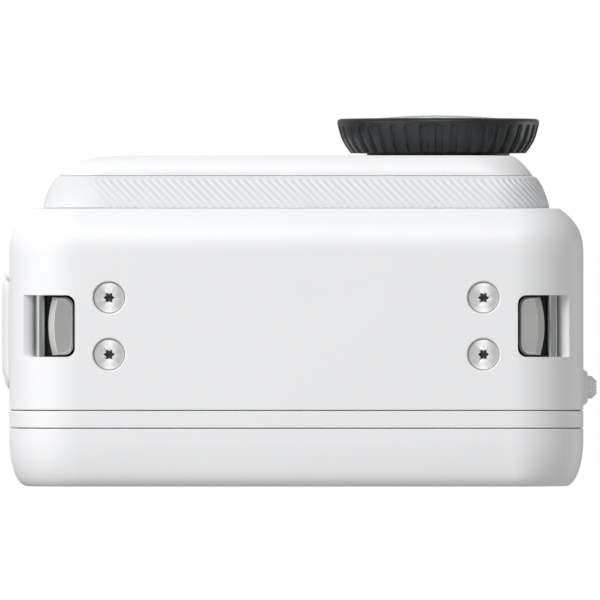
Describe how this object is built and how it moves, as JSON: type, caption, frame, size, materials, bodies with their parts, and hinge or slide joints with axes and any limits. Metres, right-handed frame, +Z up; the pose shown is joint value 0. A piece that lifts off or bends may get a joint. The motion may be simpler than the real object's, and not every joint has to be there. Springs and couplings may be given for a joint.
{
  "type": "action camera",
  "caption": "Compact action camera with a flip-up rear screen, ribbed lens guard, side battery door, two buttons and a claw-slot base.",
  "frame": {"origin": "centre of the flat base, between the two claw slots and the four base screws", "axes": "+Z up out of the top, -Y out of the lens, +X towards the power button side"},
  "size_m": [0.0721, 0.0447, 0.0522],
  "materials": {
    "white_shell": "fine satin moulded plastic",
    "trim_white": "satin, finely grooved",
    "dark_rubber": "matte",
    "black_plastic": "matte",
    "guard_metal": "dark satin anodised",
    "steel": "satin",
    "aluminium": "satin anodised",
    "clear_glass": "coated, polished",
    "screen_black": "glossy black",
    "board_green": "solder mask",
    "battery_grey": "matte",
    "flex_amber": "satin film",
    "magnet_nickel": "nickel plated",
    "status_white": "milky light guide"
  },
  "bodies": {
    "camera_body": {"front_housing": "white_shell", "rear_cover": "white_shell", "grooved_trim": "trim_white", "front_fascia": "white_shell", "display_window": "screen_black", "front_display": "screen_black", "wind_mesh": "dark_rubber", "microphone": "steel", "status_light": "status_white", "lens_collar": "black_plastic", "lens_barrel": "black_plastic", "front_lens": "clear_glass", "rear_lens_group": "clear_glass", "image_sensor": "screen_black", "sensor_board": "board_green", "main_board": "board_green", "heat_spreader": "aluminium", "processor_can": "steel", "battery_tray": "black_plastic", "battery": "battery_grey", "card_slot": "steel", "memory_card": "black_plastic", "usb_socket": "steel", "speaker": "black_plastic", "base_bracket": "steel", "base_magnet_left": "magnet_nickel", "base_magnet_right": "magnet_nickel", "catch_left": "steel", "catch_right": "steel", "catch_pin_left": "steel", "catch_pin_right": "steel", "base_screw_1": "steel", "base_screw_2": "steel", "base_screw_3": "steel", "base_screw_4": "steel", "cover_screw_1": "steel", "cover_screw_2": "steel", "cover_screw_3": "steel", "cover_screw_4": "steel", "power_collar": "white_shell", "shutter_bezel": "aluminium", "shutter_switch": "black_plastic", "power_switch": "black_plastic", "housing_seal": "dark_rubber", "screen_flex": "flex_amber", "hinge_pin_left": "steel", "hinge_pin_right": "steel", "door_hinge_pin": "steel"},
    "flip_screen": {"screen_frame": "white_shell", "screen_glass": "screen_black", "screen_panel": "screen_black", "screen_board": "board_green"},
    "shutter": {"shutter_button": "dark_rubber"},
    "power": {"power_button": "white_shell"},
    "door": {"battery_door": "white_shell", "door_seal": "dark_rubber"},
    "latch": {"door_latch": "white_shell"},
    "guard_carrier": {"guard_seal": "dark_rubber"},
    "guard": {"guard_ring": "guard_metal", "guard_glass": "clear_glass"}
  },
  "joints": [
    {"name": "screen_hinge", "type": "hinge", "parent": "camera_body", "child": "flip_screen", "pos_m": [0, 0.01224, 0.0504], "axis": [1, 0, 0], "range_deg": [0, 180]},
    {"name": "shutter_press", "type": "slide", "parent": "camera_body", "child": "shutter", "axis": [0, 0, -1], "range_m": [0, 0.0006], "stiffness_N_per_m": 1500, "springref_m": -0.0004},
    {"name": "power_press", "type": "slide", "parent": "camera_body", "child": "power", "axis": [-1, 0, 0], "range_m": [0, 0.0005], "stiffness_N_per_m": 1500, "springref_m": -0.0004},
    {"name": "door_hinge", "type": "hinge", "parent": "camera_body", "child": "door", "pos_m": [-0.03445, -0.00628, 0.026], "axis": [0, 0, 1], "range_deg": [0, 110]},
    {"name": "latch_slide", "type": "slide", "parent": "door", "child": "latch", "axis": [0, 0, -1], "range_m": [0, 0.003]},
    {"name": "guard_lift", "type": "slide", "parent": "camera_body", "child": "guard_carrier", "axis": [0, -1, 0], "range_m": [0, 0.008]},
    {"name": "guard_twist", "type": "hinge", "parent": "guard_carrier", "child": "guard", "pos_m": [0.0172, -0.022, 0.032], "axis": [0, -1, 0], "range_deg": [0, 45]}
  ]
}
